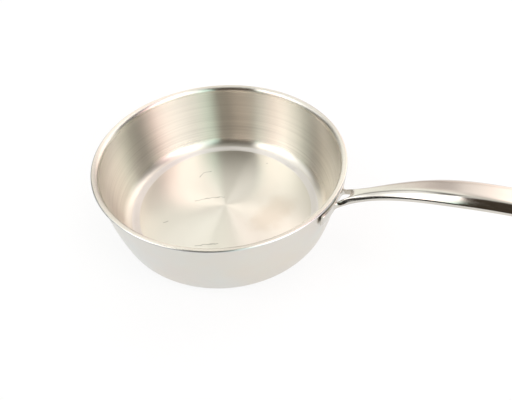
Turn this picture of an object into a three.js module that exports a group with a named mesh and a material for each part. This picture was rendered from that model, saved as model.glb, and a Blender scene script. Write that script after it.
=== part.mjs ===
// Deep frying pan: a three-ply clad stainless vessel with a flared pouring rim, and a cast
// stainless handle whose forked root ends in a saddle, projection-welded to the wall.
// Millimetres, +Z up. The origin is the middle of the base's underside, on the surface that the
// pan stands on, and the handle points along +X.

import * as THREE from "three";

// Vessel
const RIM_RADIUS = 126; // outermost edge of the pouring rim
const HEIGHT = 80; // underside of the base to the top of the rim
const BASE_INSET = 26.5; // from the rim's edge in to the flat of the base, where the corner bend starts
const CORNER_BEND = 16; // outside radius of the bend from base to wall
const RIM_BEND = 2; // outside radius of the bend from wall to rim
const RIM_LAND = 1.5; // straight stretch of the rim beyond its bend
const RIM_SLOPE = THREE.MathUtils.degToRad(20); // rise of the rim above level
const EXTERIOR_PLY = 0.5; // magnetic stainless skin
const CORE_PLY = 1.7; // aluminium core
const INTERIOR_PLY = 0.5; // stainless lining
const BOND_LINE = 0.02; // clearance between two plies

// Handle
const HANDLE_REACH = 200; // rim to the end of the handle, level
const HANDLE_END_RISE = 46.4; // rim to the middle of the handle's end, upright
const ROOT_CLIMB = THREE.MathUtils.degToRad(36.4); // climb of the spine where it leaves the saddle
const ROOT_PULL = 84; // length over which the root's climb shapes the spine
const END_CLIMB = THREE.MathUtils.degToRad(5); // climb of the spine at its far end
const END_PULL = 101; // length over which the end's climb shapes the spine
const NECK_AT = 20; // narrowest place, along the spine from the saddle
const GRIP_AT = 107; // widest place, along the spine from the saddle
const ROOT_WIDTH = 24;
const NECK_WIDTH = 14.4;
const GRIP_WIDTH = 28.6;
const END_WIDTH = 26;
const ROOT_THICKNESS = 5.5;
const NECK_THICKNESS = 7.1;
const GRIP_THICKNESS = 10.7;
const END_THICKNESS = 8;
const FORK_HEIGHT = 66.4; // base to the middle of the fork's root
const FORK_LENGTH = 12.7; // saddle to the crotch of the fork
const PRONG_WIDTH = 2.7;
const STRIP_NARROWS = 16; // length beyond the crotch over which the cage's middle strip narrows
const NECK_STRIP = 1; // half width of the middle strip where it is narrowest
const EDGE_ROUND = 5.5; // width of the rounded shoulder along each side
const EDGE_ROWS = { top: 0.1, middle: -0.4, bottom: -0.82 }; // heights on the sides, in half thicknesses
const SIDE_BULGE = 0.7; // how far the middle of each side stands out from its shoulders
const HANG_HOLE_LENGTH = 20;
const HANG_HOLE_WIDTH = 9;
const HANG_HOLE_TO_END = 9; // solid metal between the hanging hole and the end
const TIP_ROUND = 14; // length over which the end is rounded in plan
const TIP_BLUNTNESS = 0.5; // width of the cage's last section, as a share of the full width

// Saddle under the fork
const SADDLE_DROP = 3; // middle of the fork's root to the middle of the saddle
const SADDLE_WIDTH = 66;
const SADDLE_HEIGHT = 15.5;
const SADDLE_THICKNESS = 2.6;
const SADDLE_END_TAPER = 0.8; // height of the cage's end columns, as a share of the full height
const SADDLE_END_ROUND = 6; // width over which each end is rounded

// Welds between saddle and wall
const WELD_GAP = 0.9; // wall to the saddle's inner face
const WELD_CLEARANCE = 0.2; // left on each face of a nugget
const WELD_RADIUS = 4;
const WELD_TO_SADDLE_END = 8; // middle of the outer weld to the end of the saddle
const WELD_PITCH = 11; // outer weld to inner weld

// Fineness of the facets
const VESSEL_SECTORS = 48;
const CORNER_STEPS = 5;
const WALL_STEPS = 5;
const RIM_STEPS = 3;
const EDGE_STEPS = 8;
const NUGGET_SIDES = 12;
const FORK_STEPS = 3;
const GRIP_STEPS = 11;
const HANG_HOLE_STEPS = 3;
const TIP_STEPS = 2;

const CORE_FROM = EXTERIOR_PLY + BOND_LINE;
const CORE_TO = CORE_FROM + CORE_PLY;
const LINING_FROM = CORE_TO + BOND_LINE;
const PLATE = LINING_FROM + INTERIOR_PLY;
const SADDLE_MIDDLE = FORK_HEIGHT - SADDLE_DROP;
const OUTER_WELD = SADDLE_WIDTH / 2 - WELD_TO_SADDLE_END;
const WELD_PLACES = { inner: OUTER_WELD - WELD_PITCH, outer: OUTER_WELD }; // sideways from the middle
const UPRIGHT = Math.PI / 2;

const heading = (angle) => new THREE.Vector2(Math.cos(angle), Math.sin(angle));
const leftOf = (angle) => new THREE.Vector2(-Math.sin(angle), Math.cos(angle));
const steps = (from, to, count) =>
  Array.from({ length: count + 1 }, (_, i) => THREE.MathUtils.lerp(from, to, i / count));

// Outside profile of the vessel in (radius, height). The rim's rounded edge is half a circle as
// wide as the plate. The wall is bowed: one wide arc that carries on from the corner bend and
// stands upright where the rim's bend takes over.
const rimEdgeMiddle = new THREE.Vector2(RIM_RADIUS - PLATE / 2, HEIGHT - PLATE / 2);
const rimBendEnd = rimEdgeMiddle
  .clone()
  .addScaledVector(heading(RIM_SLOPE), -RIM_LAND)
  .addScaledVector(leftOf(RIM_SLOPE), -PLATE / 2);
const rimBendCentre = rimBendEnd.clone().addScaledVector(leftOf(RIM_SLOPE), -RIM_BEND);
const cornerCentre = new THREE.Vector2(RIM_RADIUS - BASE_INSET, CORNER_BEND);
const wallTop = rimBendCentre.clone().addScaledVector(leftOf(UPRIGHT), RIM_BEND);
const cornerToTop = wallTop.clone().sub(cornerCentre);
const WALL_BOW = (cornerToTop.lengthSq() - CORNER_BEND ** 2) / (2 * (cornerToTop.x - CORNER_BEND));
const wallCentre = wallTop.clone().addScaledVector(leftOf(UPRIGHT), WALL_BOW);
const WALL_FOOT_CLIMB = Math.acos(cornerToTop.y / (WALL_BOW - CORNER_BEND));

/** Radius of the wall's outside at a height. */
function wallRadius(height) {
  return wallCentre.x + Math.sqrt(WALL_BOW ** 2 - (height - wallCentre.y) ** 2);
}

/** Profile at a depth below the outside: along the base, round the corner, up the wall, round the rim. */
function plateSurface(depth) {
  const arc = (centre, radius, turns) => turns.map((turn) => centre.clone().addScaledVector(leftOf(turn), radius));
  return [
    new THREE.Vector2(0, depth),
    ...arc(cornerCentre, depth - CORNER_BEND, steps(0, WALL_FOOT_CLIMB, CORNER_STEPS)),
    ...arc(wallCentre, depth - WALL_BOW, steps(WALL_FOOT_CLIMB, UPRIGHT, WALL_STEPS).slice(1, -1)),
    ...arc(rimBendCentre, depth + RIM_BEND, steps(UPRIGHT, RIM_SLOPE, RIM_STEPS)),
  ];
}

/** The rounded edge of the rim between two depths. */
function rimEdge(fromDepth, toDepth) {
  const turnAt = (depth) => Math.asin((2 * depth) / PLATE - 1);
  const count = Math.max(1, Math.round((EDGE_STEPS * (turnAt(toDepth) - turnAt(fromDepth))) / Math.PI));
  return steps(turnAt(fromDepth), turnAt(toDepth), count).map((turn) =>
    rimEdgeMiddle.clone().addScaledVector(heading(RIM_SLOPE + turn), PLATE / 2),
  );
}

/** One ply of the clad plate, pressed into the shape of the pan. */
function plyGeometry(fromDepth, toDepth) {
  const profile = [
    ...plateSurface(fromDepth),
    ...rimEdge(fromDepth, toDepth),
    ...plateSurface(toDepth).reverse(),
  ];
  return new THREE.LatheGeometry(profile, VESSEL_SECTORS).rotateX(Math.PI / 2);
}

// Spine of the handle, in (outward, height), through the middle of its thickness
const saddleInner = (height) => wallRadius(height) + WELD_GAP;
const saddleOuter = (height) => saddleInner(height) + SADDLE_THICKNESS;
const spineStart = new THREE.Vector2(saddleOuter(FORK_HEIGHT), FORK_HEIGHT);
const spineEnd = new THREE.Vector2(RIM_RADIUS + HANDLE_REACH, HEIGHT + HANDLE_END_RISE);
const spine = new THREE.CubicBezierCurve(
  spineStart,
  spineStart.clone().addScaledVector(heading(ROOT_CLIMB), ROOT_PULL),
  spineEnd.clone().addScaledVector(heading(END_CLIMB), -END_PULL),
  spineEnd,
);
const SPINE_LENGTH = spine.getLength();
const HANG_HOLE_END = SPINE_LENGTH - HANG_HOLE_TO_END;
const HANG_HOLE_START = HANG_HOLE_END - HANG_HOLE_LENGTH;

/** A size along the spine: quick fall from root to neck, soft swell to the grip, slow taper to the end. */
function sizeAlong(distance, root, neck, grip, end) {
  const swell = (from, to) => THREE.MathUtils.smoothstep(distance, from, to);
  if (distance < NECK_AT) return neck + (root - neck) * (1 - distance / NECK_AT) ** 2;
  if (distance < GRIP_AT) return neck + (grip - neck) * swell(NECK_AT, GRIP_AT);
  return grip + (end - grip) * swell(GRIP_AT, SPINE_LENGTH);
}

/** Half width of the handle at a distance along the spine, drawn in round the tip. */
function halfWidth(distance) {
  const intoTip = Math.max(0, distance - SPINE_LENGTH + TIP_ROUND) / TIP_ROUND;
  const tip = Math.sqrt(1 - (1 - TIP_BLUNTNESS ** 2) * intoTip ** 2);
  return (tip * sizeAlong(distance, ROOT_WIDTH, NECK_WIDTH, GRIP_WIDTH, END_WIDTH)) / 2;
}

/** Half width of the middle strip: the gap of the fork, the hanging hole, and a smooth run between. */
function halfMiddle(distance) {
  const { lerp, smoothstep } = THREE.MathUtils;
  const forkGap = halfWidth(Math.min(distance, FORK_LENGTH)) - PRONG_WIDTH;
  const narrowest = FORK_LENGTH + STRIP_NARROWS;
  const beyond = lerp(NECK_STRIP, HANG_HOLE_WIDTH / 2, smoothstep(distance, narrowest, HANG_HOLE_START));
  return lerp(forkGap, beyond, smoothstep(distance, FORK_LENGTH, narrowest));
}

/** A mesh of four-sided faces that collects points by key, so that neighbours share them. */
class Cage {
  points = [];
  faces = [];
  keys = new Map();

  point(key, place) {
    if (!this.keys.has(key)) {
      this.keys.set(key, this.points.length);
      this.points.push(place());
    }
    return this.keys.get(key);
  }

  /** The same surface, smoothed once by the Catmull-Clark rule. */
  smoothed() {
    const finer = new Cage();
    const sum = (list) => list.reduce((total, p) => total.add(p), new THREE.Vector3());
    const average = (list) => sum(list).divideScalar(list.length);
    const faceMiddles = this.faces.map((face) => average(face.map((i) => this.points[i])));
    const edges = new Map();
    const around = this.points.map(() => ({ faces: [], edges: [] }));
    const edgeKey = (a, b) => (a < b ? `${a}_${b}` : `${b}_${a}`);
    this.faces.forEach((face, f) =>
      face.forEach((a, corner) => {
        const b = face[(corner + 1) % face.length];
        const key = edgeKey(a, b);
        around[a].faces.push(faceMiddles[f]);
        if (!edges.has(key)) {
          const ends = [this.points[a], this.points[b]];
          edges.set(key, { ends, sides: [] });
          around[a].edges.push(average(ends));
          around[b].edges.push(average(ends));
        }
        edges.get(key).sides.push(faceMiddles[f]);
      }),
    );
    const cornerPoint = (a) =>
      finer.point(`corner ${a}`, () => {
        const count = around[a].faces.length;
        return this.points[a]
          .clone()
          .multiplyScalar(count - 3)
          .add(average(around[a].faces))
          .addScaledVector(average(around[a].edges), 2)
          .divideScalar(count);
      });
    const edgePoint = (a, b) => {
      const { ends, sides } = edges.get(edgeKey(a, b));
      return finer.point(`edge ${edgeKey(a, b)}`, () => average([...ends, ...sides]));
    };
    this.faces.forEach((face, f) => {
      const middle = finer.point(`face ${f}`, () => faceMiddles[f]);
      face.forEach((a, corner) => {
        const before = face[(corner + face.length - 1) % face.length];
        const after = face[(corner + 1) % face.length];
        finer.faces.push([cornerPoint(a), edgePoint(a, after), middle, edgePoint(before, a)]);
      });
    });
    return finer;
  }

  geometry() {
    const geometry = new THREE.BufferGeometry().setFromPoints(this.points);
    geometry.setIndex(this.faces.flatMap(([a, b, c, d]) => [a, b, c, a, c, d]));
    return geometry;
  }
}

/** The cast handle: saddle, fork, neck, grip and hanging hole as one smooth body. */
function handleGeometry() {
  const cage = new Cage();
  const COLUMNS = 6; // across the handle: both edges, both edge bands, both sides of the middle strip
  const [LEFT, RIGHT] = [2, 3]; // columns on either side of the middle strip
  const ROWS = { top: 1, middle: 0, bottom: -1 };
  const forkStations = steps(0, FORK_LENGTH, FORK_STEPS);
  const gripStations = steps(FORK_LENGTH, HANG_HOLE_START, GRIP_STEPS).slice(1);
  const holeStations = steps(HANG_HOLE_START, HANG_HOLE_END, HANG_HOLE_STEPS).slice(1);
  const tipStations = steps(HANG_HOLE_END, SPINE_LENGTH, TIP_STEPS).slice(1);
  const stations = [...forkStations, ...gripStations, ...holeStations, ...tipStations];
  const crotch = FORK_STEPS;
  const holeStart = crotch + GRIP_STEPS;
  const holeEnd = holeStart + HANG_HOLE_STEPS;
  const last = stations.length - 1;
  const open = (station) => station < crotch || (station >= holeStart && station < holeEnd);

  /** Sideways place of a column of the handle, from the left edge to the right one. */
  function columnAt(distance, column) {
    const edge = halfWidth(distance);
    const band = Math.max(edge - EDGE_ROUND, (edge + halfMiddle(distance)) / 2);
    return [-edge, -band, -halfMiddle(distance), halfMiddle(distance), band, edge][column];
  }

  // The saddle's columns run from end to end, with those of the fork in the middle
  const saddleEnd = SADDLE_WIDTH / 2;
  const wing = [saddleEnd, saddleEnd - SADDLE_END_ROUND, (saddleEnd - SADDLE_END_ROUND + halfWidth(0)) / 2];
  const rootColumns = Array.from({ length: COLUMNS }, (_, column) => columnAt(0, column));
  const saddleColumns = [...wing.map((y) => -y), ...rootColumns, ...wing.toReversed()];
  const firstRoot = wing.length;
  const lastColumn = saddleColumns.length - 1;
  const prongHeight = ROOT_THICKNESS / Math.cos(ROOT_CLIMB);
  const prongRows = [-prongHeight / 2, 0, prongHeight / 2].map((row) => SADDLE_DROP + row);
  const saddleRows = [-SADDLE_HEIGHT / 2, ...prongRows, SADDLE_HEIGHT / 2];
  const lastRow = saddleRows.length - 1;
  const MIDDLE_ROW = 2;

  /** A point of the saddle, on its outer face or on its inner one, which follows the wall. */
  function saddlePoint(column, row, side) {
    return cage.point(`saddle ${column} ${row} ${side}`, () => {
      const atEnd = column === 0 || column === lastColumn;
      const y = saddleColumns[column];
      const z = SADDLE_MIDDLE + saddleRows[row] * (atEnd ? SADDLE_END_TAPER : 1);
      const radius = side === "outer" ? saddleOuter(z) : saddleInner(z);
      return new THREE.Vector3(Math.sqrt(radius ** 2 - y ** 2), y, z);
    });
  }

  /** A point of the handle; the first station lies on the saddle's outer face. */
  function point(station, column, row) {
    if (station === 0) return saddlePoint(firstRoot + column, MIDDLE_ROW + ROWS[row], "outer");
    return cage.point(`handle ${station} ${column} ${row}`, () => {
      const distance = stations[station];
      const along = spine.getPointAt(distance / SPINE_LENGTH);
      const up = leftOf(spine.getTangentAt(distance / SPINE_LENGTH).angle());
      const thickness = sizeAlong(distance, ROOT_THICKNESS, NECK_THICKNESS, GRIP_THICKNESS, END_THICKNESS);
      const edgeSign = column === 0 ? -1 : column === COLUMNS - 1 ? 1 : 0;
      const share = edgeSign === 0 ? ROWS[row] : EDGE_ROWS[row];
      const place = along.addScaledVector(up, (share * thickness) / 2);
      const bulge = row === "middle" ? edgeSign * SIDE_BULGE : 0;
      return new THREE.Vector3(place.x, columnAt(distance, column) + bulge, place.y);
    });
  }

  // Skins, sides and hole walls, station by station
  const wall = (station, column, facing) => {
    for (const [low, high] of [["bottom", "middle"], ["middle", "top"]]) {
      const face = [
        point(station, column, low),
        point(station, column, high),
        point(station + 1, column, high),
        point(station + 1, column, low),
      ];
      cage.faces.push(facing > 0 ? face : face.reverse());
    }
  };
  for (let station = 0; station < last; station += 1) {
    for (let column = 0; column < COLUMNS - 1; column += 1) {
      if (column === LEFT && open(station)) continue;
      for (const row of ["top", "bottom"]) {
        const face = [
          point(station, column, row),
          point(station + 1, column, row),
          point(station + 1, column + 1, row),
          point(station, column + 1, row),
        ];
        cage.faces.push(row === "top" ? face : face.reverse());
      }
    }
    wall(station, 0, -1);
    wall(station, COLUMNS - 1, 1);
    if (open(station)) {
      wall(station, LEFT, 1);
      wall(station, RIGHT, -1);
    }
  }

  // Walls across the handle: the crotch, both ends of the hanging hole, and the tip
  const crossWall = (station, fromColumn, toColumn, facing) => {
    for (let column = fromColumn; column < toColumn; column += 1) {
      for (const [low, high] of [["bottom", "middle"], ["middle", "top"]]) {
        const face = [
          point(station, column, low),
          point(station, column + 1, low),
          point(station, column + 1, high),
          point(station, column, high),
        ];
        cage.faces.push(facing > 0 ? face : face.reverse());
      }
    }
  };
  crossWall(crotch, LEFT, RIGHT, -1);
  crossWall(holeStart, LEFT, RIGHT, 1);
  crossWall(holeEnd, LEFT, RIGHT, -1);
  crossWall(last, 0, COLUMNS - 1, 1);

  // Saddle: outer face with the prongs left open, inner face, and the four edges
  const underProng = (column, row) => {
    const rootColumn = column - firstRoot;
    const besideGap = rootColumn >= 0 && rootColumn < COLUMNS - 1 && rootColumn !== LEFT;
    return besideGap && row >= MIDDLE_ROW - 1 && row <= MIDDLE_ROW;
  };
  for (let column = 0; column < lastColumn; column += 1) {
    for (let row = 0; row < lastRow; row += 1) {
      for (const side of ["outer", "inner"]) {
        if (side === "outer" && underProng(column, row)) continue;
        const face = [
          saddlePoint(column, row, side),
          saddlePoint(column + 1, row, side),
          saddlePoint(column + 1, row + 1, side),
          saddlePoint(column, row + 1, side),
        ];
        cage.faces.push(side === "outer" ? face : face.reverse());
      }
    }
    for (const row of [0, lastRow]) {
      const face = [
        saddlePoint(column, row, "inner"),
        saddlePoint(column, row, "outer"),
        saddlePoint(column + 1, row, "outer"),
        saddlePoint(column + 1, row, "inner"),
      ];
      cage.faces.push(row === lastRow ? face : face.reverse());
    }
  }
  for (const column of [0, lastColumn]) {
    for (let row = 0; row < lastRow; row += 1) {
      const face = [
        saddlePoint(column, row, "inner"),
        saddlePoint(column, row + 1, "inner"),
        saddlePoint(column, row + 1, "outer"),
        saddlePoint(column, row, "outer"),
      ];
      cage.faces.push(column === lastColumn ? face : face.reverse());
    }
  }
  return cage.smoothed().geometry();
}

/** A flat weld nugget between wall and saddle, at a place sideways from the saddle's middle. */
function weldNugget(name, sideways, material) {
  const nugget = new THREE.Mesh(
    new THREE.CylinderGeometry(WELD_RADIUS, WELD_RADIUS, WELD_GAP - 2 * WELD_CLEARANCE, NUGGET_SIDES),
    material,
  );
  const radius = wallRadius(SADDLE_MIDDLE) + WELD_GAP / 2;
  const bearing = Math.asin(sideways / radius);
  const wallNormal = new THREE.Vector2(wallRadius(SADDLE_MIDDLE), SADDLE_MIDDLE).sub(wallCentre).normalize();
  const axis = new THREE.Vector3(
    wallNormal.x * Math.cos(bearing),
    wallNormal.x * Math.sin(bearing),
    wallNormal.y,
  );
  nugget.name = name;
  nugget.position.set(radius * Math.cos(bearing), sideways, SADDLE_MIDDLE);
  nugget.quaternion.setFromUnitVectors(new THREE.Vector3(0, 1, 0), axis);
  return nugget;
}

const metal = (color, roughness) => new THREE.MeshStandardMaterial({ color, roughness, metalness: 1 });

function namedMesh(name, geometry, material) {
  const mesh = new THREE.Mesh(geometry, material);
  mesh.name = name;
  return mesh;
}

const pan = new THREE.Group();
pan.add(namedMesh("exterior_shell", plyGeometry(0, EXTERIOR_PLY), metal(0xc9c7c3, 0.32)));
pan.add(namedMesh("aluminium_core", plyGeometry(CORE_FROM, CORE_TO), metal(0xb8babd, 0.45)));
pan.add(namedMesh("interior_lining", plyGeometry(LINING_FROM, PLATE), metal(0xd2cec6, 0.3)));
pan.add(namedMesh("handle", handleGeometry(), metal(0xbdb7ad, 0.35)));
for (const [side, sign] of [["left", 1], ["right", -1]]) {
  for (const [place, sideways] of Object.entries(WELD_PLACES)) {
    pan.add(weldNugget(`weld_nugget_${side}_${place}`, sign * sideways, metal(0x8f8c88, 0.55)));
  }
}

export default pan;
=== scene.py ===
"""Deep frying pan in clad stainless steel, dressed for a studio picture.

The vessel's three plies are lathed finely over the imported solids, and the cast handle is a smoothed
cage. Sizes below are in millimetres, in the frame of the solids, and turned to metres at the mesh.
"""

import bpy
import numpy as np
from mathutils import Matrix, Vector


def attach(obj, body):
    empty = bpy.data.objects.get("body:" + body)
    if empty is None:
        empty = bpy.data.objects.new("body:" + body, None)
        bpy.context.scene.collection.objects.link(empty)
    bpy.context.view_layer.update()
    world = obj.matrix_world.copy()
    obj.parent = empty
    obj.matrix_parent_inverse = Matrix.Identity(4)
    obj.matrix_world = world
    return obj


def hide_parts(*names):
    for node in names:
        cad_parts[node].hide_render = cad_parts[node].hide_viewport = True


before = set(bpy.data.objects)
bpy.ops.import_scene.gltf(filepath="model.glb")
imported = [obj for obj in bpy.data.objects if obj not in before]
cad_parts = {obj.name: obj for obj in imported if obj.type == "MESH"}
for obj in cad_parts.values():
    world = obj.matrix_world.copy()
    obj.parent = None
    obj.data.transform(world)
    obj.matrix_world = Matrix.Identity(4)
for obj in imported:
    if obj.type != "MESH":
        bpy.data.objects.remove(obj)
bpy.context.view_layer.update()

MM = 0.001

# Vessel
RIM_RADIUS = 125.98
HEIGHT = 80.0
BASE_FLAT_RADIUS = 99.5
CORNER_BEND = 16.0
RIM_BEND = 2.0
RIM_LAND = 1.5
RIM_SLOPE = np.radians(20)
EXTERIOR_PLY = 0.5
CORE_PLY = 1.7
INTERIOR_PLY = 0.5
BOND_LINE = 0.02
CORE_FROM = EXTERIOR_PLY + BOND_LINE
CORE_TO = CORE_FROM + CORE_PLY
LINING_FROM = CORE_TO + BOND_LINE
PLATE = LINING_FROM + INTERIOR_PLY
UPRIGHT = np.pi / 2

# Handle
HANDLE_REACH = 199.85
HANDLE_END_RISE = 46.4
ROOT_CLIMB = np.radians(36.4)
ROOT_PULL = 84.0
END_CLIMB = np.radians(5)
END_PULL = 101.0
NECK_AT = 20.0
GRIP_AT = 107.0
WIDTHS = (24.0, 14.4, 28.6, 26.0)  # root, neck, grip, end
THICKNESSES = (5.5, 7.1, 10.7, 8.0)  # root, neck, grip, end
FORK_HEIGHT = 66.4
FORK_LENGTH = 12.7
PRONG_WIDTH = 2.7
STRIP_NARROWS = 16.0
NECK_STRIP = 1.0
EDGE_ROUND = 5.5
EDGE_ROWS = (-0.82, -0.4, 0.1)  # bottom, middle and top of the sides, in half thicknesses
SIDE_BULGE = 0.7
HANG_HOLE_LENGTH = 20.0
HANG_HOLE_WIDTH = 9.0
HANG_HOLE_TO_END = 9.0
TIP_ROUND = 14.0
TIP_BLUNTNESS = 0.5
SADDLE_DROP = 3.0
SADDLE_WIDTH = 66.0
SADDLE_HEIGHT = 15.5
SADDLE_THICKNESS = 2.6
SADDLE_END_TAPER = 0.8
SADDLE_END_ROUND = 6.0
WELD_GAP = 0.9
FORK_STEPS, GRIP_STEPS, HANG_HOLE_STEPS, TIP_STEPS = 3, 11, 3, 2
HANDLE_SMOOTHING = 4
SPINE_POINTS = 2001

# Fineness of the lathed plies
SECTORS = 288
FLOOR_STEPS = 24
CORNER_STEPS = 28
WALL_STEPS = 12
RIM_STEPS = 10
LAND_STEPS = 3
EDGE_STEPS = 16
SHARP_FROM = np.radians(35)

# Camera, from the middle of the rim
CAMERA_DISTANCE = 428.4
CAMERA_BEARING = np.radians(33.5)  # from -Y towards +X
CAMERA_ELEVATION = np.radians(38.8)
CAMERA_YAW, CAMERA_PITCH, CAMERA_ROLL = 0.07242, 0.1223, -0.098  # radians
FOCAL_PIXELS = 424.8
IMAGE_WIDTH = 512
SENSOR_WIDTH = 36.0
CLIP_START = 10.0


def heading(angle):
    """Unit vectors at these angles, last axis (outward, up)."""
    return np.stack([np.cos(angle), np.sin(angle)], -1)


def left_of(angle):
    """Unit vectors a quarter turn to the left of these angles."""
    return np.stack([-np.sin(angle), np.cos(angle)], -1)


def smoothstep(value, start, end):
    """Eases from 0 at start to 1 at end: 3t^2 - 2t^3."""
    t = np.clip((value - start) / (end - start), 0, 1)
    return t * t * (3 - 2 * t)


def linear(hex_colour):
    """An sRGB hex colour as linear red, green, blue and alpha."""
    srgb = np.array([int(hex_colour[i:i + 2], 16) for i in (1, 3, 5)]) / 255
    low, high = srgb / 12.92, ((srgb + 0.055) / 1.055) ** 2.4
    return (*np.where(srgb <= 0.04045, low, high), 1.0)


# Profile of the vessel: the wall is one wide arc from the corner bend to upright at the rim's bend
RIM_EDGE_MIDDLE = np.array([RIM_RADIUS - PLATE / 2, HEIGHT - PLATE / 2])
RIM_BEND_END = RIM_EDGE_MIDDLE - RIM_LAND * heading(RIM_SLOPE) - PLATE / 2 * left_of(RIM_SLOPE)
RIM_BEND_CENTRE = RIM_BEND_END - RIM_BEND * left_of(RIM_SLOPE)
CORNER_CENTRE = np.array([BASE_FLAT_RADIUS, CORNER_BEND])
WALL_TOP = RIM_BEND_CENTRE + RIM_BEND * left_of(UPRIGHT)
CORNER_TO_TOP = WALL_TOP - CORNER_CENTRE
WALL_BOW = (CORNER_TO_TOP @ CORNER_TO_TOP - CORNER_BEND**2) / (2 * (CORNER_TO_TOP[0] - CORNER_BEND))
WALL_CENTRE = WALL_TOP + WALL_BOW * left_of(UPRIGHT)
WALL_FOOT_CLIMB = np.arccos(CORNER_TO_TOP[1] / (WALL_BOW - CORNER_BEND))


def wall_radius(height):
    """Radius of the wall's outside at a height."""
    return WALL_CENTRE[0] + np.sqrt(WALL_BOW**2 - (height - WALL_CENTRE[1]) ** 2)


def between(start, end, count):
    """Evenly spaced points from start up to, but without, end."""
    return start + (end - start) * np.linspace(0, 1, count, endpoint=False)[:, None]


def plate_surface(depth):
    """Profile at a depth below the outside: level floor, corner arc, bowed wall, rim arc."""
    corner_turns = np.linspace(0, WALL_FOOT_CLIMB, CORNER_STEPS)
    wall_turns = np.linspace(WALL_FOOT_CLIMB, UPRIGHT, WALL_STEPS)[1:-1]
    rim_turns = np.linspace(UPRIGHT, RIM_SLOPE, RIM_STEPS)
    corner = CORNER_CENTRE + (depth - CORNER_BEND) * left_of(corner_turns)
    wall = WALL_CENTRE + (depth - WALL_BOW) * left_of(wall_turns)
    rim = RIM_BEND_CENTRE + (depth + RIM_BEND) * left_of(rim_turns)
    floor = between(np.array([0, depth]), corner[0], FLOOR_STEPS)
    return np.concatenate([floor, corner, wall, rim])


def rim_edge(from_depth, to_depth):
    """Rounded edge of the rim between two depths, an arc of a half circle as wide as the plate."""
    turns = np.linspace(*np.arcsin(2 * np.array([from_depth, to_depth]) / PLATE - 1), EDGE_STEPS)
    return RIM_EDGE_MIDDLE + PLATE / 2 * heading(RIM_SLOPE + turns)


def make_piece(name, points, faces, node, material):
    """A smooth mesh object in the row frame that stands for one node of the solids."""
    mesh = bpy.data.meshes.new(name)
    mesh.from_pydata((points * MM).tolist(), [], [tuple(f) for f in faces])
    mesh.validate()
    mesh.shade_smooth()
    piece = bpy.data.objects.new(name, mesh)
    bpy.context.scene.collection.objects.link(piece)
    mesh.materials.append(material)
    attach(piece, "root")
    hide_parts(node)
    return piece


def ply(node, from_depth, to_depth, material):
    """One ply of the clad plate: a closed profile turned about Z, (r cos a, r sin a, h).

    Each point also keeps its run, the distance along the profile from the pan's middle.
    """
    below, above = plate_surface(from_depth), plate_surface(to_depth)
    edge = rim_edge(from_depth, to_depth)
    below = np.concatenate([below, between(below[-1], edge[0], LAND_STEPS)[1:]])
    above = np.concatenate([above, between(above[-1], edge[-1], LAND_STEPS)[1:]])
    profile = np.concatenate([below, edge, above[::-1]])
    stretch = np.linalg.norm(np.diff(profile, axis=0), axis=1)
    run = np.concatenate([[0], np.cumsum(stretch)])
    run = np.minimum(run, run[-1] - run)

    ring = profile[1:-1]
    turn = np.linspace(0, 2 * np.pi, SECTORS, endpoint=False)
    around = np.stack(
        [
            ring[:, :1] * np.cos(turn),
            ring[:, :1] * np.sin(turn),
            np.broadcast_to(ring[:, 1:], (len(ring), SECTORS)),
        ],
        -1,
    )
    poles = np.array([[0, 0, profile[0, 1]], [0, 0, profile[-1, 1]]])
    points = np.concatenate([around.reshape(-1, 3), poles])
    index = np.arange(len(ring) * SECTORS).reshape(len(ring), SECTORS)
    after = np.roll(index, -1, axis=1)
    bands = np.stack([index[:-1], after[:-1], after[1:], index[1:]], -1).reshape(-1, 4)
    low_pole, high_pole = len(points) - 2, len(points) - 1
    low_fan = np.stack([np.full(SECTORS, low_pole), after[0], index[0]], -1)
    high_fan = np.stack([np.full(SECTORS, high_pole), index[-1], after[-1]], -1)
    faces = [*bands.tolist(), *low_fan.tolist(), *high_fan.tolist()]

    piece = make_piece(node + "_fine", points, faces, node, material)
    attribute = piece.data.attributes.new("run", "FLOAT", "POINT")
    run_of_points = np.concatenate([np.repeat(run[1:-1], SECTORS), run[[0, -1]]])
    attribute.data.foreach_set("value", (run_of_points * MM).astype(np.float32))
    piece.data.set_sharp_from_angle(angle=SHARP_FROM)
    return piece


def size_along(distance, root, neck, grip, end, spine_length):
    """A size along the spine: falls from root to neck, swells to the grip and tapers to the end."""
    fall = neck + (root - neck) * (1 - np.minimum(distance, NECK_AT) / NECK_AT) ** 2
    swell = (grip - neck) * smoothstep(distance, NECK_AT, GRIP_AT)
    taper = (end - grip) * smoothstep(distance, GRIP_AT, spine_length)
    return fall + swell + taper


def spine_points():
    """The spine, a cubic curve in (outward, height): fine points, their headings and their distances."""
    start = np.array([wall_radius(FORK_HEIGHT) + WELD_GAP + SADDLE_THICKNESS, FORK_HEIGHT])
    end = np.array([RIM_RADIUS + HANDLE_REACH, HEIGHT + HANDLE_END_RISE])
    pull_start = start + ROOT_PULL * heading(ROOT_CLIMB)
    pull_end = end - END_PULL * heading(END_CLIMB)
    t = np.linspace(0, 1, SPINE_POINTS)[:, None]
    curve = (1 - t) ** 3 * start + 3 * (1 - t) ** 2 * t * pull_start
    curve = curve + 3 * (1 - t) * t**2 * pull_end + t**3 * end
    chord = np.diff(curve, axis=0)
    distance = np.concatenate([[0], np.cumsum(np.linalg.norm(chord, axis=1))])
    slope = np.gradient(curve, axis=0)
    return curve, np.arctan2(slope[:, 1], slope[:, 0]), distance


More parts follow.
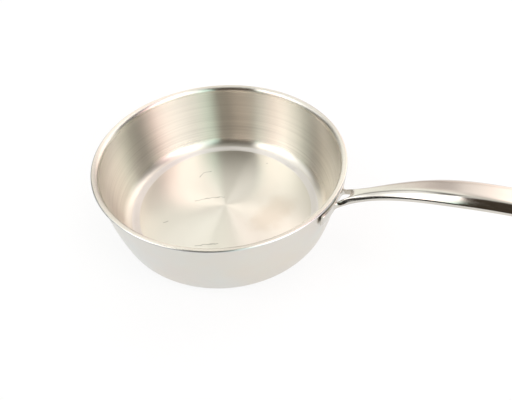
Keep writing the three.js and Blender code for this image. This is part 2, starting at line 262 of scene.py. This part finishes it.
def handle(material):
    """The cast handle: a cage of stations along the spine by columns across by rows of thickness.

    The first station lies in the outer face of the saddle, a lattice wrapped round the wall. The
    middle strip is left open in the fork and in the hanging hole, whose walls are two rows high.
    """
    curve, climb, travelled = spine_points()
    spine_length = travelled[-1]
    hole_end = spine_length - HANG_HOLE_TO_END
    hole_start = hole_end - HANG_HOLE_LENGTH

    def half_width(distance):
        into_tip = np.maximum(0, distance - spine_length + TIP_ROUND) / TIP_ROUND
        tip = np.sqrt(1 - (1 - TIP_BLUNTNESS**2) * into_tip**2)
        return tip * size_along(distance, *WIDTHS, spine_length) / 2

    def half_middle(distance):
        fork_gap = half_width(np.minimum(distance, FORK_LENGTH)) - PRONG_WIDTH
        narrowest = FORK_LENGTH + STRIP_NARROWS
        widened = smoothstep(distance, narrowest, hole_start)
        beyond = NECK_STRIP + (HANG_HOLE_WIDTH / 2 - NECK_STRIP) * widened
        return fork_gap + (beyond - fork_gap) * smoothstep(distance, FORK_LENGTH, narrowest)

    def columns_at(distance):
        edge, middle = half_width(distance), half_middle(distance)
        band = np.maximum(edge - EDGE_ROUND, (edge + middle) / 2)
        return np.stack([-edge, -band, -middle, middle, band, edge], -1)

    # Stations along the spine
    stations = np.concatenate(
        [
            np.linspace(0, FORK_LENGTH, FORK_STEPS + 1),
            np.linspace(FORK_LENGTH, hole_start, GRIP_STEPS + 1)[1:],
            np.linspace(hole_start, hole_end, HANG_HOLE_STEPS + 1)[1:],
            np.linspace(hole_end, spine_length, TIP_STEPS + 1)[1:],
        ]
    )
    crotch = FORK_STEPS
    hole_first = crotch + GRIP_STEPS
    hole_last = hole_first + HANG_HOLE_STEPS
    opened = np.zeros(len(stations) - 1, bool)
    opened[:crotch] = True
    opened[hole_first:hole_last] = True

    # Handle points beyond the saddle: station by column by row (bottom, middle, top)
    along = np.stack([np.interp(stations, travelled, curve[:, i]) for i in (0, 1)], -1)
    up = left_of(np.interp(stations, travelled, climb))
    half_thick = size_along(stations, *THICKNESSES, spine_length) / 2
    edge_sign = np.array([-1, 0, 0, 0, 0, 1])
    row_sign = np.array([-1, 0, 1])
    row_share = np.where(edge_sign[:, None] == 0, row_sign, np.array(EDGE_ROWS))
    rise = row_share * half_thick[:, None, None]
    place = along[:, None, None, :] + rise[..., None] * up[:, None, None, :]
    sideways = columns_at(stations)[:, :, None] + edge_sign[:, None] * SIDE_BULGE * (row_sign == 0)
    body = np.stack([place[..., 0], sideways, place[..., 1]], -1)

    # Saddle lattice: columns from end to end by rows of height, on the outer and on the inner face
    saddle_end = SADDLE_WIDTH / 2
    wing = np.array([saddle_end, saddle_end - SADDLE_END_ROUND, 0])
    wing[2] = (wing[1] + half_width(0.0)) / 2
    saddle_columns = np.concatenate([-wing, columns_at(0.0), wing[::-1]])
    prong_height = THICKNESSES[0] / np.cos(ROOT_CLIMB)
    prong_rows = SADDLE_DROP + prong_height * np.array([-0.5, 0, 0.5])
    saddle_rows = np.array([-SADDLE_HEIGHT / 2, *prong_rows, SADDLE_HEIGHT / 2])
    taper = np.ones(len(saddle_columns))
    taper[[0, -1]] = SADDLE_END_TAPER
    z = FORK_HEIGHT - SADDLE_DROP + saddle_rows * taper[:, None]
    y = np.broadcast_to(saddle_columns[:, None], z.shape)
    radius = wall_radius(z)[..., None] + WELD_GAP + np.array([SADDLE_THICKNESS, 0])
    across = np.broadcast_to(y[..., None], radius.shape)
    height = np.broadcast_to(z[..., None], radius.shape)
    lattice = np.stack([np.sqrt(radius**2 - across**2), across, height], -1)

    # One numbering for both, with the first station taken from the saddle's outer face
    points = np.concatenate([lattice.reshape(-1, 3), body[1:].reshape(-1, 3)])
    saddle = np.arange(lattice[..., 0].size).reshape(lattice.shape[:3])
    grip = saddle.size + np.arange(body[1:, ..., 0].size).reshape(body[1:].shape[:3])
    first_root, columns = len(wing), body.shape[1]
    root = saddle[first_root:first_root + columns, 1:4, 0]
    grip = np.concatenate([root[None], grip])

    def quads(grid, flip=False):
        """Four-sided faces of a grid of point numbers, turned over if flip."""
        corners = [grid[:-1, :-1], grid[1:, :-1], grid[1:, 1:], grid[:-1, 1:]]
        found = np.stack(corners, -1)
        return found[..., ::-1] if flip else found

    left, right = 2, 3  # columns on either side of the middle strip
    shown = np.ones((len(stations) - 1, columns - 1), bool)
    shown[opened, left] = False
    faces = [
        quads(grip[:, :, 2])[shown],
        quads(grip[:, :, 0], True)[shown],
        quads(grip[:, 0, :]),
        quads(grip[:, -1, :], True),
        quads(grip[:, left, :], True)[opened],
        quads(grip[:, right, :])[opened],
        quads(grip[crotch, left:right + 1, :], True),
        quads(grip[hole_first, left:right + 1, :]),
        quads(grip[hole_last, left:right + 1, :], True),
        quads(grip[-1]),
    ]
    outer_shown = np.ones((len(saddle_columns) - 1, len(saddle_rows) - 1), bool)
    outer_shown[first_root:first_root + columns - 1, 1:3] = False
    outer_shown[first_root + left, 1:3] = True
    faces += [
        quads(saddle[:, :, 0])[outer_shown],
        quads(saddle[:, :, 1], True),
        quads(saddle[:, -1, :]),
        quads(saddle[:, 0, :], True),
        quads(saddle[-1], True),
        quads(saddle[0]),
    ]
    faces = np.concatenate([f.reshape(-1, 4) for f in faces])
    piece = make_piece("handle_fine", points, faces.tolist(), "handle", material)
    smoothing = piece.modifiers.new("smooth_casting", "SUBSURF")
    smoothing.levels = smoothing.render_levels = HANDLE_SMOOTHING
    smoothed = piece.evaluated_get(bpy.context.evaluated_depsgraph_get())
    piece.data = bpy.data.meshes.new_from_object(smoothed)
    piece.modifiers.clear()
    return piece


def add(tree, kind, inputs=None, **settings):
    """Adds a node: settings are its properties, and each input is a value or a socket to link."""
    node = tree.nodes.new(kind)
    for name, value in settings.items():
        setattr(node, name, value)
    for name, value in (inputs or {}).items():
        if isinstance(value, bpy.types.NodeSocket):
            tree.links.new(value, node.inputs[name])
        else:
            node.inputs[name].default_value = value
    return node


def new_material(name):
    """An empty material with its output node, and its node tree."""
    material = bpy.data.materials.new(name)
    material.use_nodes = True
    material.node_tree.nodes.clear()
    return material, material.node_tree


def turned_lines(tree, strand, pitch, detail=2.0):
    """Noise drawn out along the brush's path: strand long and pitch wide, in millimetres.

    Its coordinates are (x/r, y/r) on a circle and the run, so that there is no seam at any bearing.
    """
    place = add(tree, "ShaderNodeTexCoord").outputs["Object"]
    flat = add(tree, "ShaderNodeVectorMath", {0: place, 1: (1, 1, 0)}, operation="MULTIPLY")
    bearing = add(tree, "ShaderNodeVectorMath", {0: flat.outputs[0]}, operation="NORMALIZE")
    strands = {0: bearing.outputs[0], "Scale": RIM_RADIUS / strand}
    circle = add(tree, "ShaderNodeVectorMath", strands, operation="SCALE")
    run = add(tree, "ShaderNodeAttribute", attribute_name="run").outputs["Fac"]
    across = add(tree, "ShaderNodeMath", {0: run, 1: 1 / (pitch * MM)}, operation="MULTIPLY")
    lift = add(tree, "ShaderNodeCombineXYZ", {"Z": across.outputs[0]})
    where = add(tree, "ShaderNodeVectorMath", {0: circle.outputs[0], 1: lift.outputs[0]})
    settings = {"Vector": where.outputs[0], "Scale": 1.0, "Detail": detail, "Roughness": 0.6}
    return add(tree, "ShaderNodeTexNoise", settings).outputs["Fac"]


def blotches(tree, size, detail=3.0):
    """Soft cloudy noise with blotches about that many millimetres wide."""
    place = add(tree, "ShaderNodeTexCoord").outputs["Object"]
    settings = {"Vector": place, "Scale": 1 / (size * MM), "Detail": detail, "Roughness": 0.55}
    return add(tree, "ShaderNodeTexNoise", settings).outputs["Fac"]


def eased(tree, value, low, high, to_low=0.0, to_high=1.0):
    """A value eased from one range to another."""
    settings = {"Value": value, "From Min": low, "From Max": high, "To Min": to_low, "To Max": to_high}
    return add(tree, "ShaderNodeMapRange", settings, interpolation_type="SMOOTHSTEP").outputs["Result"]


def sum_of(tree, *values):
    """The sum of several values."""
    total = values[0]
    for value in values[1:]:
        total = add(tree, "ShaderNodeMath", {0: total, 1: value}).outputs[0]
    return total


def mixed(tree, share, one, other):
    """Two colours mixed by a share, each a socket or a hex colour."""
    one, other = (linear(c) if isinstance(c, str) else c for c in (one, other))
    node = add(tree, "ShaderNodeMix", {0: share, 6: one, 7: other}, data_type="RGBA")
    return node.outputs[2]


def along_run(tree, stops):
    """A value that goes straight from stop to stop along the profile: (run in millimetres, value)."""
    run = add(tree, "ShaderNodeAttribute", attribute_name="run").outputs["Fac"]
    share = add(tree, "ShaderNodeMath", {0: run, 1: 1 / (stops[-1][0] * MM)}, operation="MULTIPLY")
    ramp = add(tree, "ShaderNodeValToRGB", {"Fac": share.outputs[0]})
    elements = ramp.color_ramp.elements
    while len(elements) < len(stops):
        elements.new(1.0)
    for element, (run_at, value) in zip(elements, stops):
        element.position = run_at / stops[-1][0]
        element.color = (value, value, value, 1)
    return ramp.outputs["Color"]


# Run along the lining from the middle of the floor to the ends of its floor, bend, wall and rim
FLOOR_RUN = BASE_FLAT_RADIUS
BEND_RUN = FLOOR_RUN + (CORNER_BEND - PLATE) * WALL_FOOT_CLIMB
WALL_RUN = BEND_RUN + (WALL_BOW - PLATE) * (UPRIGHT - WALL_FOOT_CLIMB)
RIM_RUN = WALL_RUN + (RIM_BEND + PLATE) * (UPRIGHT - RIM_SLOPE) + RIM_LAND + PLATE
RING_RUN = (96.3, 103.5)  # pale ring round the floor, painted reflection of the overhead light
RING_EDGE = (0.8, 1.0)  # stretches in which the ring comes and goes
RING_METALLIC = 0.45  # metallic share in the pale ring, whose matt white is painted reflection

# Marks of use on the pan's floor: broken lines through (x, y)
FLOOR_SCRATCHES = (
    ((-50.6, 27.1), (-51.0, 34.8), (-43.6, 41.3)),
    ((-34.6, -10.0), (-23.5, 0.5), (-6.6, 10.1)),
    ((0.0, -65.3), (9.3, -58.8), (20.3, -52.9)),
    ((-48.0, -53.0), (-46.9, -51.7), (-45.2, -48.5)),
    ((11.4, 83.9), (12.2, 84.5)),
)
SCRATCH_EDGE = (0.1, 0.7)  # distances from its line where a scratch begins to fade and is gone
SCRATCH_STRENGTH = 0.6
HEAT_STAIN = ((50.0, -2.0), (58.0, 24.0))
STAIN_EDGE = (4.0, 24.0)  # the same for the stain
STAIN_STRENGTH = 0.4
UNEVEN_GLOSS = 0.12  # what the lining's lines add to its roughness
BUFFING_SCALE = (20, 700, 700)  # per metre: buffing lines 50 mm long and 1.4 mm wide
ACROSS_LINES = 0.25  # quarter turn from the tangent, so that gloss spreads across the lines


def finish_metal(tree, colour, roughness, anisotropic, height, depth, metallic=1.0):
    """The metal shader that the finishes share: lines run round Z, so gloss spreads across them."""
    tangent = add(tree, "ShaderNodeTangent", direction_type="RADIAL", axis="Z")
    bump = add(tree, "ShaderNodeBump", {"Strength": 1.0, "Distance": depth * MM, "Height": height})
    shader = add(
        tree,
        "ShaderNodeBsdfPrincipled",
        {
            "Base Color": colour,
            "Metallic": metallic,
            "Roughness": roughness,
            "Anisotropic": anisotropic,
            "Anisotropic Rotation": ACROSS_LINES,
            "Tangent": tangent.outputs[0],
            "Normal": bump.outputs[0],
        },
    )
    add(tree, "ShaderNodeOutputMaterial", {"Surface": shader.outputs[0]})


def off_line(tree, place, points):
    """Distance from places on the floor to a broken line through points in millimetres."""
    nearest = None
    for a, b in zip(points[:-1], points[1:]):
        a, b = (Vector((*p, 0)) * MM for p in (a, b))
        rel = add(tree, "ShaderNodeVectorMath", {0: place, 1: a}, operation="SUBTRACT").outputs[0]
        reach = (b - a) / (b - a).length_squared
        share = add(tree, "ShaderNodeVectorMath", {0: rel, 1: reach}, operation="DOT_PRODUCT")
        share = add(tree, "ShaderNodeClamp", {"Value": share.outputs["Value"]}).outputs[0]
        foot = add(tree, "ShaderNodeVectorMath", {0: b - a, "Scale": share}, operation="SCALE")
        ends = {0: rel, 1: foot.outputs[0]}
        off = add(tree, "ShaderNodeVectorMath", ends, operation="DISTANCE").outputs["Value"]
        if nearest is None:
            nearest = off
        else:
            nearest = add(tree, "ShaderNodeMath", {0: nearest, 1: off}, operation="MINIMUM").outputs[0]
    return nearest


def wandering_place(tree, size, amount):
    """Places on the floor, shifted by noise so that what is drawn there has wavering edges."""
    place = add(tree, "ShaderNodeTexCoord").outputs["Object"]
    flat = add(tree, "ShaderNodeVectorMath", {0: place, 1: (1, 1, 0)}, operation="MULTIPLY").outputs[0]
    noise = add(tree, "ShaderNodeTexNoise", {"Vector": flat, "Scale": 1 / (size * MM), "Detail": 2.0})
    from_middle = {0: noise.outputs["Color"], 1: (0.5, 0.5, 0.5)}
    shift = add(tree, "ShaderNodeVectorMath", from_middle, operation="SUBTRACT")
    reach = (2 * amount * MM, 2 * amount * MM, 0)
    scaled = add(tree, "ShaderNodeVectorMath", {0: shift.outputs[0], 1: reach}, operation="MULTIPLY")
    return add(tree, "ShaderNodeVectorMath", {0: flat, 1: scaled.outputs[0]}).outputs[0]


def spun_stainless_lining():
    """Stainless sheet brushed with grit while the pressed pan turned, and used.

    The eye sees rings of fine lines, so light spreads across them: straight bands of light up the
    wall and a fan of light on the floor. The lines' lighter and darker colour, most on the bend, is
    partly painted highlight. A pale matt ring round the floor is painted reflection of the overhead
    light. Use has left a few dark scratches and dried drops, and a faint brown heat stain.
    """
    material, tree = new_material("spun_stainless_lining")
    fine = turned_lines(tree, strand=110, pitch=0.8)
    coarse = turned_lines(tree, strand=250, pitch=2.6)
    lines = sum_of(tree, fine, coarse, -1.0)
    # Strength of the lines along the profile: their bumps, and their partly painted highlight in colour
    brushed = along_run(
        tree,
        (
            (0, 0.05),
            (RING_RUN[1], 0.1),
            (BEND_RUN - 4, 0.3),
            (BEND_RUN + 2, 1.0),
            (BEND_RUN + 18, 0.7),
            (WALL_RUN, 0.2),
            (RIM_RUN, 0.1),
        ),
    )
    lines = add(tree, "ShaderNodeMath", {0: lines, 1: brushed}, operation="MULTIPLY").outputs[0]
    roughness = along_run(
        tree,
        (
            (0, 0.29),
            (RING_RUN[0] - RING_EDGE[0], 0.29),
            (RING_RUN[0], 0.5),
            (RING_RUN[1], 0.5),
            (RING_RUN[1] + RING_EDGE[1], 0.28),
            (BEND_RUN - 2, 0.28),
            (BEND_RUN + 6, 0.32),
            (WALL_RUN - 4, 0.33),
            (WALL_RUN, 0.25),
            (RIM_RUN, 0.25),
        ),
    )
    uneven = add(tree, "ShaderNodeMath", {0: lines, 1: UNEVEN_GLOSS}, operation="MULTIPLY").outputs[0]
    # Partly painted highlight: the lines' lighter and darker colour, strongest on the bend and lower
    # wall, stands in for light that the grooves catch there
    colour = mixed(tree, eased(tree, lines, -0.4, 0.4), "#F4F0E7", "#DCD8CF")
    worn = along_run(tree, ((0, 1), (RING_RUN[0], 1), (BEND_RUN, 0)))
    colour = mixed(tree, worn, colour, "#EFECE2")
    ring = along_run(
        tree,
        (
            (0, 0),
            (RING_RUN[0] - RING_EDGE[0], 0),
            (RING_RUN[0], 1),
            (RING_RUN[1], 1),
            (RING_RUN[1] + RING_EDGE[1], 0),
        ),
    )
    # Painted reflection: the pale ring round the floor stands in for the overhead light that the floor's
    # edge reflects
    colour = mixed(tree, ring, colour, "#FBF9F5")
    stained = off_line(tree, wandering_place(tree, size=14, amount=9), HEAT_STAIN)
    stain_ends = (STAIN_EDGE[0] * MM, STAIN_EDGE[1] * MM)
    colour = mixed(tree, eased(tree, stained, *stain_ends, STAIN_STRENGTH, 0.0), colour, "#D6C8B4")
    place = wandering_place(tree, size=5, amount=2)
    scratch_ends = (SCRATCH_EDGE[0] * MM, SCRATCH_EDGE[1] * MM)
    for points in FLOOR_SCRATCHES:
        off = off_line(tree, place, points)
        marked = eased(tree, off, *scratch_ends, SCRATCH_STRENGTH, 0.0)
        colour = mixed(tree, marked, colour, "#6E6A60")
    # The ring's lower metallic share makes it matt white, part of the same painted reflection
    ring_metallic = eased(tree, ring, 0.0, 1.0, 1.0, RING_METALLIC)
    roughness = sum_of(tree, roughness, uneven)
    finish_metal(tree, colour, roughness, anisotropic=1.0, height=lines, depth=0.0015, metallic=ring_metallic)
    return material


def satin_stainless_shell():
    """Magnetic stainless, satin polished, with the faint tints that water and heat leave.

    The eye sees a pale, soft gloss with cloudy blue, straw and rose stains.
    """
    material, tree = new_material("satin_stainless_shell")
    stain = mixed(tree, blotches(tree, size=70), "#D4DEE2", "#E3D9C4")
    rose = eased(tree, blotches(tree, size=33), 0.0, 1.0, 0.0, 0.5)
    stain = mixed(tree, rose, stain, "#DDD2CE")
    lines = turned_lines(tree, strand=120, pitch=1.0)
    finish_metal(tree, stain, roughness=0.28, anisotropic=0.7, height=lines, depth=0.0002)
    return material


def bare_aluminium_edge():
    """Aluminium core where the rim was trimmed: a thin, slightly duller line between two bright ones."""
    material, tree = new_material("bare_aluminium_edge")
    turned = turned_lines(tree, strand=30, pitch=0.3)
    colour = mixed(tree, turned, "#E2E1DE", "#D4D4D2")
    roughness = eased(tree, turned, 0.3, 0.7, 0.28, 0.36)
    finish_metal(tree, colour, roughness, anisotropic=0.5, height=turned, depth=0.001)
    return material


def polished_cast_steel():
    """Cast stainless, ground smooth and buffed along its length.

    The eye sees clear reflections, a little soft and faintly wavy, with fine lengthwise lines.
    """
    material, tree = new_material("polished_cast_steel")
    place = add(tree, "ShaderNodeTexCoord").outputs["Object"]
    lengthwise = add(tree, "ShaderNodeVectorMath", {0: place, 1: BUFFING_SCALE}, operation="MULTIPLY")
    settings = {"Vector": lengthwise.outputs[0], "Scale": 1.0, "Detail": 3.0}
    buffing = add(tree, "ShaderNodeTexNoise", settings).outputs["Fac"]
    wave = blotches(tree, size=18, detail=1.0)
    clouded = eased(tree, blotches(tree, size=35), 0.35, 0.65)
    colour = mixed(tree, clouded, "#D7D3CB", "#CFCBC3")
    roughness = eased(tree, buffing, 0.3, 0.7, 0.1, 0.16)
    height = sum_of(tree, wave, buffing)
    finish_metal(tree, colour, roughness, anisotropic=0.0, height=height, depth=0.002)
    return material


def weld_scale():
    """Weld metal with its heat scale: dull, grainy and brownish grey."""
    material, tree = new_material("weld_scale")
    grain = blotches(tree, size=1.2, detail=4.0)
    colour = mixed(tree, eased(tree, grain, 0.35, 0.65), "#8F8C88", "#6B5F54")
    roughness = eased(tree, grain, 0.3, 0.7, 0.45, 0.65)
    finish_metal(tree, colour, roughness, anisotropic=0.0, height=grain, depth=0.05)
    return material


lining_steel = spun_stainless_lining()
shell_steel = satin_stainless_shell()
core_metal = bare_aluminium_edge()
handle_steel = polished_cast_steel()
weld_steel = weld_scale()

ply("exterior_shell", 0, EXTERIOR_PLY, shell_steel)
ply("aluminium_core", CORE_FROM, CORE_TO, core_metal)
ply("interior_lining", LINING_FROM, PLATE, lining_steel)
handle(handle_steel)
for name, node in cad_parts.items():
    if name.startswith("weld_nugget"):
        node.data.materials.clear()
        node.data.materials.append(weld_steel)


# Studio, with lengths in metres
FLOOR_HALF = 12.0
FLOOR_DROP = 0.0002
FLOOR_GLOW = 1.03
FLOOR_GLOW_SHARE = 0.8
TENT_RADIUS = 3.0
TENT_BEARINGS, TENT_HEIGHTS = 240, 91


def stage_mesh(name, points, faces, material):
    """A smooth mesh in metres that belongs to the studio and not to the pan."""
    mesh = bpy.data.meshes.new(name)
    mesh.from_pydata(points.tolist(), [], faces.tolist())
    mesh.shade_smooth()
    mesh.materials.append(material)
    thing = bpy.data.objects.new(name, mesh)
    bpy.context.scene.collection.objects.link(thing)
    return thing


def white_floor():
    """White paper, mostly white by itself to the eye and in the metal, that still takes a shadow."""
    material, tree = new_material("white_paper")
    path = add(tree, "ShaderNodeLightPath").outputs
    seen = path["Is Camera Ray"]
    for kind in ("Is Glossy Ray", "Is Transmission Ray"):
        seen = add(tree, "ShaderNodeMath", {0: seen, 1: path[kind]}, operation="MAXIMUM").outputs[0]
    share = add(tree, "ShaderNodeMath", {0: seen, 1: FLOOR_GLOW_SHARE}, operation="MULTIPLY")
    paper = add(tree, "ShaderNodeBsdfDiffuse", {"Color": linear("#F4F4F4")})
    glow = add(tree, "ShaderNodeEmission", {"Color": linear("#FFFFFF"), "Strength": FLOOR_GLOW})
    sheet = {0: share.outputs[0], 1: paper.outputs[0], 2: glow.outputs[0]}
    blend = add(tree, "ShaderNodeMixShader", sheet)
    add(tree, "ShaderNodeOutputMaterial", {"Surface": blend.outputs[0]})
    corner = np.array([[-1, -1, 0], [1, -1, 0], [1, 1, 0], [-1, 1, 0]]) * FLOOR_HALF
    corner = corner - [0, 0, FLOOR_DROP]
    return stage_mesh("white_floor", corner, np.array([[0, 1, 2, 3]]), material)


# Light round the pan at each bearing from the handle: degrees, level, tint
TENT_WALL = (
    (-180, 0.03, "#FFFFFF"),
    (-170, 0.03, "#FFFFFF"),
    (-160, 0.25, "#FFFFFF"),
    (-149, 1.8, "#FFFFFF"),
    (-133, 3.0, "#FFFFFF"),
    (-119, 2.7, "#FFF0EC"),
    (-106, 1.75, "#F4FFFA"),
    (-98, 1.5, "#DCFFF4"),
    (-50, 1.5, "#DCFFF4"),
    (-29, 1.8, "#FFFFFF"),
    (-8, 2.8, "#FFFFFF"),
    (5, 2.9, "#FFE2E4"),
    (14, 1.25, "#FFE0E4"),
    (25, 0.2, "#FFFFFF"),
    (45, 0.2, "#FFFFFF"),
    (57, 1.4, "#FFFFFF"),
    (75, 2.1, "#FFEAE2"),
    (90, 1.2, "#FFF2EC"),
    (105, 0.65, "#FFF2EC"),
    (118, 0.95, "#FFF4EE"),
    (131, 1.35, "#FEFFF8"),
    (146, 1.0, "#FEFFF8"),
    (160, 0.45, "#FFFFFF"),
    (180, 0.03, "#FFFFFF"),
)
TENT_WALL_TOP = (70.0, 84.0)  # degrees above level where the wall gives way to the roof
TENT_ROOF_LEVEL = 0.9
TENT_ROOF_TINT = "#FFFDF8"
SOFT_PANELS = (  # bearing, elevation, degrees out to its edge and in to its full level, level
    (-168.0, 46.0, 25.0, 11.0, 1.2),
    (90.0, 54.0, 26.0, 10.0, 0.35),
)
HEM_BEARING = -112.0  # the tent's cloth is lifted on the camera's side, and the dim room shows below
HEM_REACH = (72.0, 50.0)  # degrees to either side where the hem comes down, and where it is fully up
HEM_TOP = 25.0
HEM_SOFT = 5.0
HEM_LEVEL = 0.04
SLOT_BEARING = -78.0  # camera's slot in the tent, through which the dim room shows
SLOT_LEVEL = 0.06
SLOT_TINT = "#FFE2C4"
SLOT_HALF = (0.24, 0.09)  # half width of the slot at the roof, and what it gains at the floor
SLOT_SOFT = 0.06
SLOT_BACK = (-12.0, 0.0)  # degrees past the top between which the slot fades out


def unit_way(bearing, elevation):
    """Unit vectors towards bearings and elevations in radians."""
    level = np.cos(elevation)
    return np.stack([level * np.cos(bearing), level * np.sin(bearing), np.sin(elevation)], -1)


def light_tent():
    """A dome that glows by bearing at its sides and evenly overhead, with two soft panels.

    Its hem is lifted on the camera's side, and the camera's slot runs from there up to the top.
    """
    bearing = np.linspace(-180, 180, TENT_BEARINGS, endpoint=False)
    height = np.linspace(0, 90, TENT_HEIGHTS)
    stops = np.array([[b, *(np.array(linear(tint)[:3]) * level)] for b, level, tint in TENT_WALL])
    wall = np.stack([np.interp(bearing, stops[:, 0], stops[:, i]) for i in (1, 2, 3)], -1)
    over = smoothstep(height, *TENT_WALL_TOP)[:, None, None]
    roof = TENT_ROOF_LEVEL * np.array(linear(TENT_ROOF_TINT)[:3])
    glow = wall[None] * (1 - over) + roof * over
    b, h = np.meshgrid(np.radians(bearing), np.radians(height))
    way = unit_way(b, h)
    for panel_bearing, panel_height, edge, full, level in SOFT_PANELS:
        near = way @ unit_way(np.radians(panel_bearing), np.radians(panel_height))
        off = np.degrees(np.arccos(np.clip(near, -1, 1)))
        glow = glow + level * smoothstep(off, edge, full)[..., None]
    off_hem = np.abs((bearing - HEM_BEARING + 180) % 360 - 180)
    hem_top = HEM_TOP * smoothstep(off_hem, *HEM_REACH)
    cloth_share = smoothstep(height[:, None] - hem_top, -HEM_SOFT, 0)[..., None]
    glow = glow * cloth_share + HEM_LEVEL * (1 - cloth_share)
    ahead = way @ unit_way(np.radians(SLOT_BEARING), 0.0)
    aside = np.abs(way @ unit_way(np.radians(SLOT_BEARING + 90), 0.0))
    half = SLOT_HALF[0] + SLOT_HALF[1] * np.cos(h)
    slot = 1 - smoothstep(aside, half - SLOT_SOFT / 2, half + SLOT_SOFT / 2)
    back, full = -np.sin(np.radians(SLOT_BACK[::-1]))
    slot = slot * smoothstep(ahead, back, full)
    dim = SLOT_LEVEL * np.array(linear(SLOT_TINT)[:3])
    glow = glow * (1 - slot[..., None]) + dim * slot[..., None]

    material, tree = new_material("tent_cloth")
    colour = add(tree, "ShaderNodeAttribute", attribute_name="glow")
    cloth = add(tree, "ShaderNodeEmission", {"Color": colour.outputs["Color"], "Strength": 1.0})
    add(tree, "ShaderNodeOutputMaterial", {"Surface": cloth.outputs[0]})
    index = np.arange(way[..., 0].size).reshape(way.shape[:2])
    after = np.roll(index, -1, axis=1)
    faces = np.stack([index[:-1], index[1:], after[1:], after[:-1]], -1).reshape(-1, 4)
    tent = stage_mesh("light_tent", way.reshape(-1, 3) * TENT_RADIUS, faces, material)
    shade = tent.data.attributes.new("glow", "FLOAT_COLOR", "POINT")
    rgba = np.concatenate([glow.reshape(-1, 3), np.ones((index.size, 1))], 1)
    shade.data.foreach_set("color", rgba.astype(np.float32).ravel())
    tent.visible_camera = False
    return tent


white_floor()
light_tent()
world = bpy.data.worlds.new("studio")
bpy.context.scene.world = world
world.use_nodes = True
world.node_tree.nodes["Background"].inputs["Color"].default_value = (1, 1, 1, 1)

# Camera
eye = Vector((0, 0, HEIGHT)) + CAMERA_DISTANCE * Vector(
    (
        np.sin(CAMERA_BEARING) * np.cos(CAMERA_ELEVATION),
        -np.cos(CAMERA_BEARING) * np.cos(CAMERA_ELEVATION),
        np.sin(CAMERA_ELEVATION),
    )
)
look = (Vector((0, 0, HEIGHT)) - eye).to_track_quat("-Z", "Y").to_matrix()
turn = Matrix.Rotation(-CAMERA_YAW, 3, "Y") @ Matrix.Rotation(-CAMERA_PITCH, 3, "X")
turn = turn @ Matrix.Rotation(CAMERA_ROLL, 3, "Z")
lens = bpy.data.cameras.new("camera")
lens.sensor_fit = "HORIZONTAL"
lens.sensor_width = SENSOR_WIDTH
lens.lens = FOCAL_PIXELS / IMAGE_WIDTH * SENSOR_WIDTH
lens.clip_start = CLIP_START * MM
camera = bpy.data.objects.new("camera", lens)
camera.matrix_world = Matrix.Translation(eye * MM) @ (look @ turn).to_4x4()
bpy.context.scene.collection.objects.link(camera)
bpy.context.scene.camera = camera
bpy.context.scene.view_settings.view_transform = "Standard"
